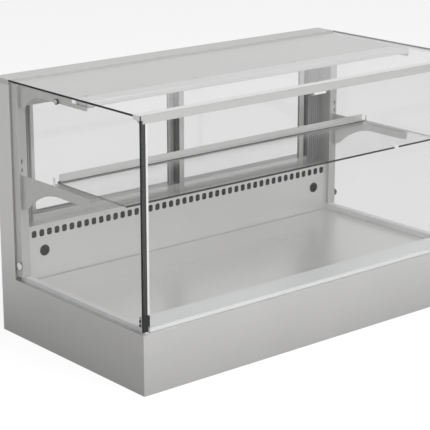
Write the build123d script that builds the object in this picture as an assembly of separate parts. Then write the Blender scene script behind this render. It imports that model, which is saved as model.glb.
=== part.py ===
from build123d import *
import os

# Refrigerated counter-top display case: a stainless base with a sunken, cooled well, a glass box on it, one
# glass shelf, and two sliding doors between two columns at the back. X runs to the right as seen from the
# front, Y to the back and Z up. While the pieces are drawn, Y counts from the front face; save() moves them
# so that the origin lies in the middle of the footprint. All lengths are in millimetres.

# Overall size
width = 1380.0
depth = 746.0
height = 832.0
base_height = 187.0

# Plays between pieces
seat_gap = 0.3
pass_gap = 0.5
pin_play = 0.05

# Sheets and panes
body_sheet = 1.5
tub_sheet = 1.2
bend_radius = 3.0
pane = 6.0
door_pane = 5.0

# Base
strip_width = 17.0
foot_return = 25.0
foot_height = 15.0
foot_radius = 20.0
foot_inset = 90.0
weep_length = 12.0
weep_width = 4.0
weep_from_front = 98.0
weep_from_side = 11.5
weep_corner = 1.3

# Well, its ledge and the deck in it
ledge_rise = 12.0
front_ledge = 90.5
column_to_well = 2.0
rear_wall = 20.0
well_floor = 84.0
deck_drop = 20.0
deck_flange = 15.0
deck_side_gap = 2.0
deck_rear_gap = 1.0
return_slots = 12
return_slot_length = 80.0
return_slot_width = 12.0
return_slots_from_side = 89.0
return_slot_from_edge = 22.0
rail_leg = 20.0
stand_width = 60.0

# Rear wall of the display space, with its air slots and finger holes
cover_setback = 19.0
sill_above_ledge = 158.0
air_slots = 44
air_slot_width = 18.5
air_slot_height = 23.0
punch_corner = 4.0
air_slot_from_sill = 28.0
air_slots_from_side = 24.0
finger_hole_radius = 16.0
finger_hole_from_side = 62.0
finger_hole_above_ledge = 71.0
grommet_flange = 2.0
grommet_lip = 1.5
hem_height = 12.0
hook_above_ledge = 102.0
hook_drop = 11.0
hook_width = 24.0
hook_from_side = 230.0
hook_standoff = 4.0
shroud_setback = 1.0

# Columns, header and cap
column_width = 38.0
column_depth = 80.0
cap_height = 17.0
header_height = 73.0

# Slotted uprights and what hangs in them
upright_face = 33.0
upright_wall = 2.0
upright_inset = 1.5
bracket_sheet = 3.0
bracket_from_side = 18.0
slot_width = 4.0
slot_height = 14.0
slot_pitch = 28.0
slot_above_ledge = 42.0
hook_neck = 7.0
hook_lip = 3.0
hook_lip_drop = 5.0

# Glass shelf
shelf_slot = 10
slots_under_shelf = 3
slots_over_shelf = 2
shelf_front = 118.0
shelf_rear = 467.0
shelf_from_side = 34.0
pad_thickness = 3.7
bracket_tip = 262.0
bracket_edge = 31.0
bracket_root = 113.0
bracket_flange = 26.0
bracket_above_slot = 13.0
bracket_nose = 10.0
bracket_nose_round = 14.0
bracket_heel = 33.0
bracket_heel_rise = 13.0
bracket_curve = 218.0
bracket_curve_middle = 93.0
bracket_curve_drop = 26.0
shelf_rail_height = 21.0
shelf_rail_sheet = 1.7
shelf_rail_inset = 9.0
retainer_radius = 3.0
retainer_height = 25.0
retainer_from_side = 23.5

# Canopy with the light under its front edge
canopy_below_top = 8.0
canopy_sheet = 2.0
canopy_front = 340.0
canopy_from_side = 20.0
light_depth = 65.0
light_height = 16.0
canopy_lap = 18.0
knob_radius = 9.0
knob_shank = 2.5
knob_from_canopy = 90.0
knob_below_light = 7.5
knob_head = 5.0
arm_depth = 12.0
arm_tip = 4.0
gusset_length = 95.0
gusset_depth = 50.0
gusset_round = 8.0
arm_round = 5.0

# Front rail, front glass and its hinges
rail_depth = 30.0
rail_height = 25.0
rail_upper = 14.0
rail_round = 6.0
catch_width = 50.0
catch_height = 9.0
seal_face = 2.5
seal_width = 10.0
glass_above_base = 4.0
pivot_from_front = 4.0
pivot_above_base = 13.0
pivot_pin_radius = 2.5
hinge_notch_side = 23.0
hinge_notch_height = 58.0
hinge_block_depth = 8.0
hinge_step = 13.0
hinge_plate = 3.5
hinge_lobe = 7.0
hinge_boss_from_front = 30.0
hinge_boss_half = 8.0
hinge_boss_height = 30.0
hinge_play = 1.0
hinge_back = 28.0
hinge_rise = 33.0
hinge_neck = 6.0

# Studs that hold the side panes to the uprights
fixing_above_base = 51.0
fixing_from_column = 26.0
fixing_radius = 12.0
fixing_depth = 3.0
fixing_shank = 4.0

# Sliding doors and their tracks
track_from_rear = 28.5
track_fin = 1.5
track_width = 46.5
track_height = 21.0
top_track_height = 30.0
top_track_lift = 3.0
jamb_width = 53.5
jamb_depth = 52.0
door_thickness = 11.0
stile_width = 20.0
door_seal = 12.5
door_left_reach = 13.0
door_right_reach = 4.0
shoe_length = 60.0
shoe_height = 14.0

# Cooling pieces
fan_size = 92.0
fan_depth = 25.0
fan_from_side = 350.0
fan_lift = 5.0
fan_rim = 4.0
fan_sides = 24
fan_blades = 5
fan_hub = 16.0
blade_from_rim = 3.5
blade_pitch = 40.0
blade_root = 14.0
blade_end = 22.0
blade_sheet = 1.6
coil_fins = 26
coil_from_side = 92.0
coil_fin = 1.6
coil_height = 100.0
coil_depth = 56.0
coil_bottom = 215.0
bend_pipe_radius = 5.0
suction_radius = 6.0
liquid_radius = 4.0
suction_from_coil = 30.0
liquid_from_coil = 50.0
pipe_stagger = 14.0
pipe_sides = 8
turned_sides = 16
drain_from_side = 200.0
drain_from_front = 480.0
drain_radius = 12.5
drain_collar = 14.0
drain_spigot = 11.0
drain_flange = 22.0
drain_wall = 2.0

# Service side
panel_inset = 4.5
controls_from_side = 200.0
controls_height = 47.0
bezel = 3.0
controller_half = 35.0
controller_rise = 14.0
controller_depth = 55.0
switch_offset = 75.0
switch_pitch = 35.0
switch_half = 10.0
switch_rise = 14.0
switch_depth = 14.0
rocker_half = 8.0
rocker_rise = 10.0
rocker_pin = 1.5
rocker_tilt = 7.0
rocker_face = 4.0
rocker_dish = 2.0
rocker_back = 3.0
bush_offset = 150.0
bush_neck = 9.0
bush_nut = 13.0
bush_bore = 4.0
bush_length = 14.0

# Planes that several pieces share
half_width = width / 2
column_inner = half_width - column_width
column_front = depth - column_depth
header_top = height - cap_height
header_bottom = header_top - header_height
apron_rear = column_front - pass_gap
ledge_inset = strip_width + pass_gap
ledge_side = half_width - ledge_inset
ledge_top = base_height + ledge_rise
well_front = ledge_inset + front_ledge
well_half = column_inner - column_to_well
well_rear = depth - rear_wall
deck_top = ledge_top - deck_drop
sill_top = ledge_top + sill_above_ledge
cover_front = column_front - cover_setback
cover_back = cover_front + tub_sheet
shroud_front = cover_front + shroud_setback
pan_top = foot_height + body_sheet
rear_face = depth - panel_inset
foam_rear = rear_face - body_sheet - seat_gap
side_glass_front = pane + seal_face
glass_underside = height - pane
rail_front = pane + seat_gap
rail_rear = rail_front + rail_depth
pivot_height = base_height + pivot_above_base
bracket_plane = half_width - bracket_from_side
upright_front = column_front - upright_face
upright_outer = half_width - pane - pass_gap
upright_inner = well_half + upright_inset
shelf_half = half_width - shelf_from_side
canopy_half = half_width - canopy_from_side
canopy_top = height - canopy_below_top
canopy_underside = canopy_top - canopy_sheet
slot_lowest = ledge_top + slot_above_ledge
slot_count = int((canopy_underside - slot_lowest) / slot_pitch)
track_centre = depth - track_from_rear
lane_offset = (track_width - track_fin) / 4
jamb_inner = column_inner - pass_gap - jamb_width
shroud_top = ledge_top + tub_sheet + seat_gap
finger_hole_offset = well_half - finger_hole_from_side
finger_hole_height = ledge_top + finger_hole_above_ledge
hook_offset = well_half - hook_from_side
hook_height = ledge_top + hook_above_ledge
hook_rail_front = cover_back + hook_standoff
fan_offset = well_half - fan_from_side
fan_height = well_floor + fan_size / 2 + fan_lift
coil_end = well_half - coil_from_side
drain_offset = well_half - drain_from_side
controls_offset = controls_from_side - well_half
controls_rear = rear_face + bezel
switch_places = [controls_offset + switch_offset, controls_offset + switch_offset + switch_pitch]
rocker_pivot = rear_face - bezel
bush_place = controls_offset + bush_offset
bracket_top = slot_lowest + shelf_slot * slot_pitch + bracket_above_slot
shelf_top = bracket_top + pad_thickness + seat_gap + pane
light_low = canopy_top - light_height
knob_place = (canopy_front + knob_from_canopy, light_low - knob_below_light)
fixing_place = (column_front - fixing_from_column, base_height + fixing_above_base)
hinge_plate_outer = half_width - hinge_notch_side + hinge_play + hinge_plate
top_track_base = header_bottom + top_track_lift + top_track_height
door_bottom = sill_top + shoe_height
door_head = top_track_base - shoe_height / 2


def block(x, y, z):
    """Box between a low and a high value on each axis."""
    spans = (x, y, z)
    size = [high - low for low, high in spans]
    middle = [(high + low) / 2 for low, high in spans]
    return Pos(*middle) * Box(*size)


def section(points, rounds=()):
    """Face through the corner points, with (corner, radius) pairs to round."""
    face = make_face(Polyline(*points, close=True))
    for corner, radius in rounds:
        face = fillet(face.vertices().sort_by_distance(corner)[0], radius)
    return face


def along_x(face, low, high):
    """Bar along X from a face drawn in (y, z)."""
    plane = Plane(origin=(low, 0, 0), x_dir=(0, 1, 0), z_dir=(1, 0, 0))
    return extrude(plane * face, amount=high - low)


def along_y(face, low, high):
    """Bar along Y from a face drawn in (x, z)."""
    plane = Plane(origin=(0, high, 0), x_dir=(1, 0, 0), z_dir=(0, -1, 0))
    return extrude(plane * face, amount=high - low)


def along_z(face, low, high):
    """Bar along Z from a face drawn in (x, y)."""
    return extrude(Pos(0, 0, low) * face, amount=high - low)


def punched(length, height, corner=punch_corner):
    """Outline of a punched slot: a rectangle with its corners cut off."""
    outline = Rectangle(length, height)
    return chamfer(outline.vertices(), corner)


def round_face(radius, sides):
    """Circle, or a polygon of that many sides for small turned pieces and their holes."""
    if sides:
        return RegularPolygon(radius, sides)
    return Circle(radius)


def disc_x(y, z, radius, low, high, sides=0):
    return along_x(Pos(y, z) * round_face(radius, sides), low, high)


def disc_y(x, z, radius, low, high, sides=0):
    return along_y(Pos(x, z) * round_face(radius, sides), low, high)


def disc_z(x, y, radius, low, high, sides=0):
    return along_z(Pos(x, y) * round_face(radius, sides), low, high)


def pair(shape):
    """The piece on the right side and its mirror image on the left."""
    return [shape, mirror(shape, about=Plane.YZ)]


def both(shape):
    """One tool shape on both sides, for cuts that are alike left and right."""
    return shape + mirror(shape, about=Plane.YZ)


def steps(count, pitch):
    """Places of a row of like features, centred on zero."""
    return [(number - (count - 1) / 2) * pitch for number in range(count)]


def save(name, *shapes):
    """Write one node, moved so that the origin lies in the middle of the footprint."""
    solids = [solid for shape in shapes for solid in shape.solids()]
    export_step(Pos(0, -depth / 2, 0) * Compound(solids), f"parts/{name}.step")


# Base: apron, floor pan, feet and insulation

def apron():
    """Front and sides in one folded sheet, with a strip turned in at the top and the foot."""
    body = block((-half_width, half_width), (0, apron_rear), (0, base_height))
    body = fillet(body.edges().filter_by(Axis.Z).group_by(Axis.Y)[0], bend_radius)
    inner_half = half_width - body_sheet
    hollow = block((-inner_half, inner_half), (body_sheet, depth), (body_sheet, base_height - body_sheet))
    hollow = fillet(hollow.edges().filter_by(Axis.Z).group_by(Axis.Y)[0], bend_radius - body_sheet)
    top_half = half_width - strip_width
    top_mouth = block((-top_half, top_half), (strip_width, depth), (body_sheet, height))
    foot_half = half_width - foot_return
    foot_mouth = block((-foot_half, foot_half), (foot_return, depth), (-body_sheet, base_height / 2))
    weep = Pos(half_width - weep_from_side, weep_from_front) * punched(weep_width, weep_length, weep_corner)
    weeps = both(along_z(weep, base_height - foot_return, base_height + body_sheet))
    return body - hollow - top_mouth - foot_mouth - weeps


def base_outline(gap):
    """Plan of what fills the base: wide between the apron's sides, narrow between the columns."""
    wide = half_width - body_sheet - gap
    narrow = column_inner - gap
    front = body_sheet + gap
    step = column_front - pass_gap - gap
    return section([(-wide, front), (wide, front), (wide, step), (narrow, step), (narrow, foam_rear),
                    (-narrow, foam_rear), (-narrow, step), (-wide, step)],
                   [((-wide, front), bend_radius), ((wide, front), bend_radius)])


def service_holes(play):
    """Cuts where the drain and the two pipes go down through the base."""
    cuts = disc_z(drain_offset, drain_from_front, drain_collar + play, -1, well_floor + 1, turned_sides)
    for x, y, radius in pipe_drops():
        cuts += disc_z(x, y, radius + play, -1, well_floor + 1, turned_sides)
    return cuts


def floor_pan():
    """Flat bottom sheet with its holes for the drain and the pipes."""
    return along_z(base_outline(seat_gap), foot_height, pan_top) - service_holes(pass_gap)


def feet():
    """Six round rubber feet under the pan."""
    foot = disc_z(0, 0, foot_radius, 0, foot_height, turned_sides)
    across = half_width - foot_inset
    rows = (foot_inset, column_front - foot_inset)
    return [Pos(x, y, 0) * foot for x in (-across, 0, across) for y in rows]


def controls_bay():
    """Space in the insulation behind the controls."""
    margin = 15.0
    return block((controls_offset - controller_half - margin, bush_place + bush_neck + margin),
                 (rear_face - controller_depth - margin, depth), (pan_top, well_floor - margin))


def insulation():
    """Foam between the base's sheets and the tub, up to the ledge and behind the tub."""
    lower = along_z(base_outline(seat_gap), pan_top, base_height - body_sheet - seat_gap)
    ledge_half = ledge_side - tub_sheet - seat_gap
    ledge_low = ledge_inset + tub_sheet + seat_gap
    upper = block((-ledge_half, ledge_half), (ledge_low, apron_rear - seat_gap),
                  (base_height - foot_return, ledge_top - tub_sheet - seat_gap))
    narrow = column_inner - seat_gap
    rear = block((-narrow, narrow), (column_front, foam_rear),
                 (base_height - foot_return, sill_top - body_sheet - seat_gap))
    grown = tub_sheet + seat_gap
    tub_space = block((-well_half - grown, well_half + grown), (well_front - grown, well_rear + grown),
                      (well_floor - grown, height))
    over_ledge = block((-half_width, half_width), (0, cover_front - seat_gap), (ledge_top - tub_sheet, height))
    return lower + upper + rear - tub_space - over_ledge - controls_bay() - service_holes(pass_gap)


# Tub with its raised ledge, deck and what carries the deck

def tub():
    """Tray with a raised ledge on three sides and a high back, welded from seven sheets."""
    ledge = block((-ledge_side, ledge_side), (ledge_inset, apron_rear), (base_height, ledge_top))
    under_half = ledge_side - tub_sheet
    under = block((-under_half, under_half), (ledge_inset + tub_sheet, depth), (0, ledge_top - tub_sheet))
    outer_half = well_half + tub_sheet
    outer_front = well_front - tub_sheet
    outer_rear = well_rear + tub_sheet
    wall_top = sill_top - body_sheet - seat_gap
    tray = block((-outer_half, outer_half), (outer_front, outer_rear), (well_floor - tub_sheet, ledge_top))
    back = block((-outer_half, outer_half), (cover_front - pass_gap, outer_rear), (deck_top, wall_top))
    hollow = block((-well_half, well_half), (well_front, well_rear), (well_floor, height))
    whole = (ledge - under) + tray + back - hollow - service_holes(seat_gap)
    back_start = cover_front - pass_gap
    middle = (-well_half, well_half)
    left = (-half_width, -well_half)
    right = (well_half, half_width)
    shares = [(left, (0, back_start)), (left, (back_start, depth)), (right, (0, back_start)),
              (right, (back_start, depth)), (middle, (0, well_front)), (middle, (well_front, well_rear)),
              (middle, (well_rear, depth))]
    return [whole & block(across, along, (0, height)) for across, along in shares]


def deck():
    """Lift-out tray bottom with turned-down edges and a row of return-air slots at the front."""
    deck_half = well_half - deck_side_gap
    front = well_front + deck_side_gap
    rear = cover_front - grommet_lip - deck_rear_gap
    body = block((-deck_half, deck_half), (front, rear), (deck_top - deck_flange, deck_top))
    body = fillet(body.edges().group_by(Axis.Z)[-1], body_sheet)
    hollow = block((-deck_half + body_sheet, deck_half - body_sheet), (front + body_sheet, rear - body_sheet),
                   (0, deck_top - body_sheet))
    slot = along_z(punched(return_slot_length, return_slot_width), deck_top - deck_flange, deck_top + 1)
    slot_row = front + return_slot_from_edge
    field = 2 * (well_half - return_slots_from_side)
    cuts = [Pos(x, slot_row, 0) * slot for x in steps(return_slots, field / (return_slots - 1))]
    return body - hollow - cuts


def deck_rails():
    """Angles on the tub's side walls and a hat-shaped stand in the middle."""
    top = deck_top - deck_flange - seat_gap
    low = top - rail_leg
    inner = well_half - rail_leg
    angle = section([(well_half, low), (well_half, top), (inner, top), (inner, top - body_sheet),
                     (well_half - body_sheet, top - body_sheet), (well_half - body_sheet, low)])
    rail = along_y(angle, well_front + rail_leg, cover_front - rail_leg)
    reach = stand_width / 2
    crown = reach - 10
    stand_top = deck_top - body_sheet - seat_gap
    hat = section([(-reach, well_floor), (-crown, well_floor), (-crown, stand_top - body_sheet),
                   (crown, stand_top - body_sheet), (crown, well_floor), (reach, well_floor),
                   (reach, well_floor + body_sheet), (crown + body_sheet, well_floor + body_sheet),
                   (crown + body_sheet, stand_top), (-crown - body_sheet, stand_top),
                   (-crown - body_sheet, well_floor + body_sheet), (-reach, well_floor + body_sheet)])
    stand = along_y(hat, well_front + 3 * rail_leg, cover_front - 3 * rail_leg)
    return pair(rail) + [stand]


# Rear wall of the display space

def duct_cover():
    """Upright panel with a hemmed top, a row of air slots, two finger holes and hooks behind."""
    cover_half = well_half - seat_gap
    bottom = shroud_top + seat_gap
    face = block((-cover_half, cover_half), (cover_front, cover_back), (bottom, sill_top))
    hem = block((-cover_half, cover_half), (cover_back, cover_back + tub_sheet), (sill_top - hem_height, sill_top))
    foot = block((-cover_half, cover_half), (cover_back, cover_back + hem_height / 2), (bottom, bottom + tub_sheet))
    slot_height_up = sill_top - air_slot_from_sill
    slot = along_y(punched(air_slot_width, air_slot_height), cover_front - 1, cover_back + 1)
    field = 2 * (well_half - air_slots_from_side)
    places = steps(air_slots, field / (air_slots - 1))
    cuts = [Pos(x, 0, slot_height_up) * slot for x in places]
    holes = both(disc_y(finger_hole_offset, finger_hole_height, finger_hole_radius, cover_front - 1, cover_back + 1))
    leg_front = hook_rail_front + body_sheet + seat_gap
    leg_rear = leg_front + 2 * tub_sheet
    top = hook_height + 2 * tub_sheet
    profile = section([(cover_back, hook_height), (leg_front, hook_height), (leg_front, top - hook_drop),
                       (leg_rear, top - hook_drop), (leg_rear, top), (cover_back, top)])
    hook = along_x(profile, -hook_width / 2, hook_width / 2)
    hooks = [Pos(x, 0, 0) * hook for x in (-hook_offset, 0, hook_offset)]
    return face + hem + foot + hooks - cuts - holes


def cover_rail():
    """Angle across the tub's back on which the cover hangs."""
    front = hook_rail_front
    top = hook_height - seat_gap
    low = top - rail_leg
    profile = section([(front, top), (front, low), (front + rail_leg / 2, low),
                       (front + rail_leg / 2, low + body_sheet), (front + body_sheet, low + body_sheet),
                       (front + body_sheet, top)])
    return along_x(profile, -well_half, well_half)


def cover_grommets():
    """Black rings that line the two finger holes, with a flange in front."""
    neck = finger_hole_radius - seat_gap / 2
    flange = finger_hole_radius + grommet_flange
    bore = neck - grommet_lip - grommet_flange / 2
    front = cover_front - grommet_lip - seat_gap / 2
    rear = cover_back + grommet_lip
    ring = disc_y(0, 0, flange, front, front + grommet_lip, fan_sides)
    ring += disc_y(0, 0, neck, front + grommet_lip, rear, fan_sides)
    ring -= disc_y(0, 0, bore, front - 1, rear + 1, fan_sides)
    return pair(Pos(finger_hole_offset, 0, finger_hole_height) * ring)


def sill():
    """Sheet from the cover back to the service side, under the doors, turned down at both edges."""
    half = upright_inner - seat_gap
    flange_half = well_half - seat_gap
    front = cover_back + tub_sheet + seat_gap
    rear = depth - body_sheet
    under = sill_top - body_sheet
    outer = rear_face + seat_gap
    plate = section([(front, sill_top), (rear, sill_top), (rear, under - hem_height), (outer, under - hem_height),
                     (outer, under), (front, under)], [((rear, sill_top), body_sheet)])
    flange = block((-flange_half, flange_half), (front, front + body_sheet), (under - hem_height / 2, under))
    return along_x(plate, -half, half) + flange


# Fans, evaporator, pipes and drain

def fan_shroud():
    """Upright sheet under the cover with a round mouth for each fan and a turned top."""
    half = well_half - seat_gap
    top = shroud_top
    face = block((-half, half), (shroud_front, shroud_front + tub_sheet), (well_floor, top))
    lip = block((-half, half), (shroud_front + tub_sheet, shroud_front + hem_height), (top - tub_sheet, top))
    mouth = disc_y(fan_offset, fan_height, fan_size / 2 - fan_rim, cover_front - 1, shroud_front + hem_height,
                   fan_sides)
    return face + lip - both(mouth)


def fan_frames():
    """Square frames with a round bore, and a hub on four struts that carries the rotor's pin."""
    front = shroud_front + tub_sheet
    rear = front + fan_depth
    reach = fan_size / 2
    frame = block((-reach, reach), (front, rear), (-reach, reach))
    frame -= disc_y(0, 0, reach - fan_rim, front - 1, rear + 1, fan_sides)
    hub = disc_y(0, 0, fan_hub, rear - 5, rear, turned_sides)
    pin = disc_y(0, 0, pivot_pin_radius, front + 8, rear - 5)
    arm = block((fan_hub - 1, reach - 3), (rear - 4, rear), (-2.5, 2.5))
    arms = [Rot(0, angle, 0) * arm for angle in (45, 135, 225, 315)]
    frame = frame + hub + pin + arms
    return [Pos(x, 0, fan_height) * frame for x in (-fan_offset, fan_offset)]


def fan_rotor(offset):
    """Hub with five pitched blades, running on the frame's pin."""
    front = shroud_front + tub_sheet + 2
    rear = shroud_front + tub_sheet + fan_depth - 5 - pass_gap
    tip = fan_size / 2 - fan_rim - blade_from_rim
    inside = fan_hub * 0.8
    outline = section([(inside, -blade_root / 2), (tip, -blade_end / 2), (tip, blade_end / 2), (inside, blade_root / 2)])
    blade = along_y(outline, -blade_sheet / 2, blade_sheet / 2)
    blade = Pos(0, (front + rear) / 2, 0) * Rot(blade_pitch, 0, 0) * blade
    blades = [Rot(0, number * 360 / fan_blades, 0) * blade for number in range(fan_blades)]
    hub = disc_y(0, 0, fan_hub, front, rear, turned_sides)
    bore = disc_y(0, 0, pivot_pin_radius + pin_play, front + 5, rear + 1)
    return Pos(offset, 0, fan_height) * (hub + blades - bore)


def evaporator():
    """Finned block with an end plate on either side."""
    rear = well_rear - seat_gap
    front = rear - coil_depth
    web_front = front + coil_depth / 2 - 2
    web_rear = web_front + 4
    points = []
    places = steps(coil_fins, 2 * (coil_end - 2 * coil_fin) / (coil_fins - 1))
    for x in places:
        points += [(x - coil_fin / 2, web_front), (x - coil_fin / 2, front), (x + coil_fin / 2, front),
                   (x + coil_fin / 2, web_front)]
    for x in reversed(places):
        points += [(x + coil_fin / 2, web_rear), (x + coil_fin / 2, rear), (x - coil_fin / 2, rear),
                   (x - coil_fin / 2, web_rear)]
    fins = along_z(section(points), coil_bottom, coil_bottom + coil_height)
    end = places[-1]
    plate = block((end, coil_end), (front, rear), (coil_bottom - 5, coil_bottom + coil_height + 5))
    web = block((end - coil_fin, coil_end), (web_front, web_rear), (coil_bottom, coil_bottom + coil_height))
    return fins + both(plate) + both(web)


def pipe_drops():
    """Where the two pipes go down: offset, distance from the front and radius."""
    back = well_rear - coil_depth / 2
    return [(coil_end + suction_from_coil, back, suction_radius),
            (coil_end + liquid_from_coil, back - pipe_stagger, liquid_radius)]


def copper_pipes():
    """Return bend on either end of the coil and the two pipes that leave through the floor."""
    y = well_rear - coil_depth / 2
    reach = coil_height / 8
    z = coil_bottom + coil_height / 2
    start = (coil_end, y, z - reach)
    path = Polyline(start, (coil_end + reach / 2, y, z - reach), (coil_end + reach, y, z - reach / 2),
                    (coil_end + reach, y, z + reach / 2), (coil_end + reach / 2, y, z + reach),
                    (coil_end, y, z + reach))
    ring = Plane(origin=start, z_dir=(1, 0, 0)) * RegularPolygon(bend_pipe_radius, pipe_sides)
    bends = pair(sweep(ring, path=path, transition=Transition.RIGHT))
    pipes = []
    levels = (coil_bottom + coil_height, coil_bottom - 1)
    for (x, back, radius), z in zip(pipe_drops(), levels):
        start = (coil_end + pass_gap * 2, back, z + 2 * radius - coil_height / 16)
        elbow = 2 * radius
        path = Polyline(start, (x - elbow, back, start[2]), (x, back, start[2] - elbow), (x, back, 2))
        ring = Plane(origin=start, z_dir=(1, 0, 0)) * RegularPolygon(radius, pipe_sides)
        pipes.append(sweep(ring, path=path, transition=Transition.RIGHT))
    return bends, pipes


def drain():
    """Outlet of the tub: a flange on its floor and a tail whose end takes the hose from below."""
    low = drain_wall
    top = well_floor + drain_wall
    shoulder = low + drain_spigot
    outlet = disc_z(0, 0, drain_radius, low, shoulder)
    outlet += disc_z(0, 0, drain_collar, shoulder, well_floor, turned_sides)
    outlet += disc_z(0, 0, drain_flange, well_floor, top, turned_sides)
    outlet -= disc_z(0, 0, drain_radius - drain_wall, low - 1, top + 1)
    return Pos(drain_offset, drain_from_front, 0) * outlet


# Columns, header, cap and rear panel

def columns():
    """Two box-section columns, open at the top under the cap."""
    outer = section([(column_inner, column_front), (half_width, column_front), (half_width, depth),
                     (column_inner, depth)])
    outer = fillet(outer.vertices(), bend_radius)
    inner = block((column_inner + body_sheet, half_width - body_sheet),
                  (column_front + body_sheet, depth - body_sheet), (-1, height))
    return pair(along_z(outer, 0, header_top) - inner)


def header():
    """Channel between the columns, open below for the doors' top track."""
    half = column_inner - seat_gap
    front = column_front
    return_rear = track_centre - track_width / 2 - seat_gap
    inner_top = header_top - body_sheet
    profile = section([(front, header_bottom), (return_rear, header_bottom),
                       (return_rear, header_bottom + body_sheet), (front + body_sheet, header_bottom + body_sheet),
                       (front + body_sheet, inner_top), (depth - body_sheet, inner_top),
                       (depth - body_sheet, header_bottom), (depth, header_bottom), (depth, header_top),
                       (front, header_top)])
    return along_x(profile, -half, half)


def top_cap():
    """Shallow lid over columns and header, turned down all round."""
    body = block((-half_width, half_width), (column_front, depth), (header_top, height))
    body = fillet(body.edges().group_by(Axis.Z)[-1], body_sheet)
    hollow = block((-half_width + body_sheet, half_width - body_sheet),
                   (column_front + body_sheet, depth - body_sheet), (0, height - body_sheet))
    return body - hollow


def rear_panel():
    """Sheet behind the insulation with the openings for the controls and the cord bush."""
    half = column_inner - seat_gap
    panel = block((-half, half), (rear_face - body_sheet, rear_face), (0, sill_top - body_sheet - seat_gap))
    y = (depth - column_depth, depth)
    x = controls_offset
    z = controls_height
    panel -= block((x - controller_half, x + controller_half), y, (z - controller_rise, z + controller_rise))
    for place in switch_places:
        panel -= block((place - switch_half, place + switch_half), y, (z - switch_rise, z + switch_rise))
    panel -= disc_y(bush_place, z, bush_neck + pass_gap / 2, *y, turned_sides)
    return panel


def controller():
    """Panel controller: a body behind the sheet and a bezel with a sunk window in front."""
    x = controls_offset
    z = controls_height
    body = block((x - controller_half + seat_gap, x + controller_half - seat_gap),
                 (rear_face - controller_depth, rear_face),
                 (z - controller_rise + seat_gap, z + controller_rise - seat_gap))
    rim = block((x - controller_half - bezel, x + controller_half + bezel), (rear_face, controls_rear),
                (z - controller_rise - bezel, z + controller_rise + bezel))
    rim = chamfer(rim.edges().group_by(Axis.Y)[-1], bezel / 3)
    return body + rim - window_space(0)


def window_space(gap):
    """Sunk field of the controller's bezel, less a gap on every side."""
    x = controls_offset
    half = controller_half - bezel - gap
    rise = controller_rise - bezel - gap
    return block((x - half, x + half), (rear_face + bezel / 2, depth if gap == 0 else controls_rear),
                 (controls_height - rise, controls_height + rise))


def switch_frames():
    """Two switch bodies with a flange on the sheet and a pocket for the rocker."""
    z = controls_height
    frames = []
    for x in switch_places:
        body = block((x - switch_half + seat_gap, x + switch_half - seat_gap), (rear_face - switch_depth, rear_face),
                     (z - switch_rise + seat_gap, z + switch_rise - seat_gap))
        flange = block((x - switch_half - 2, x + switch_half + 2), (rear_face, rear_face + bezel / 2),
                       (z - switch_rise - 2, z + switch_rise + 2))
        pocket_half = rocker_half + seat_gap
        pocket = block((x - pocket_half, x + pocket_half), (rear_face - switch_depth + 3, depth),
                       (z - rocker_rise - 1.5, z + rocker_rise + 1.5))
        pins = disc_x(rocker_pivot, z, rocker_pin + pin_play, x - switch_half - 1, x + switch_half + 1)
        frames.append(body + flange - pocket - pins)
    return frames


def rocker(x):
    """Rocker with a hollowed face on two pins, drawn tipped to off."""
    heel = rocker_rise - rocker_dish
    profile = section([(rocker_face, -rocker_rise), (rocker_face - rocker_dish, 0), (rocker_face, rocker_rise),
                       (-rocker_back, heel), (-rocker_back, -heel)])
    body = along_x(profile, -rocker_half, rocker_half)
    pin = disc_x(0, 0, rocker_pin, -switch_half + 2 * seat_gap, switch_half - 2 * seat_gap)
    return Pos(x, rocker_pivot, controls_height) * Rot(-rocker_tilt, 0, 0) * (body + pin)


def cord_bush():
    """Cable gland in the rear panel: a six-sided nut on a neck, with the bore for the mains cord."""
    neck_end = controls_rear - bush_length
    bush = disc_y(0, 0, bush_nut, rear_face, controls_rear, 6)
    bush += disc_y(0, 0, bush_neck, neck_end, rear_face, turned_sides)
    bush -= disc_y(0, 0, bush_bore, neck_end - 1, depth)
    return Pos(bush_place, 0, controls_height) * bush


# Uprights and brackets

def uprights():
    """Slotted channels beside the rear wall, open towards the columns."""
    left = upright_inner
    right = upright_outer
    front = upright_front
    rear = column_front - seat_gap
    wall = upright_wall
    profile = section([(left, rear), (left, front), (right, front), (right, rear), (right - wall, rear),
                       (right - wall, front + wall), (left + wall, front + wall), (left + wall, rear)],
                      [((left, front), wall), ((right, front), wall)])
    channel = along_z(profile, ledge_top, canopy_underside - seat_gap)
    slot = block((bracket_plane - slot_width / 2, bracket_plane + slot_width / 2), (front - 1, front + wall + 1),
                 (-slot_height / 2, slot_height / 2))
    group = list(range(shelf_slot - slots_under_shelf, shelf_slot + slots_over_shelf + 1))
    cuts = [Pos(0, 0, slot_centre(number)) * slot for number in group + [slot_count - 1]]
    hole = disc_x(*fixing_place, fixing_shank + pass_gap / 2, right - wall - 1, right + 1, turned_sides)
    return pair(channel - cuts - hole)


def slot_centre(number):
    """Height of the middle of an upright's slot, counted from the lowest."""
    return slot_lowest + number * slot_pitch


def hook(number):
    """Hook of a bracket in (y, z): a neck through the slot and a lip that drops behind the web."""
    low = slot_centre(number) - slot_height / 2 + seat_gap
    root = upright_front - seat_gap
    back = upright_front + upright_wall + seat_gap
    end = back + hook_lip
    drop = low - hook_lip_drop
    return section([(root - 1, low), (back, low), (back, drop), (end, drop), (end, low + hook_neck),
                    (root - 1, low + hook_neck)])


def bracket(outline, hooks, flange):
    """Upright sheet with hooks behind and a flange turned in at the top."""
    plate = outline
    for number in hooks:
        plate += hook(number)
    low = bracket_plane - bracket_sheet / 2
    return along_x(plate, low, low + bracket_sheet) + flange


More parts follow.
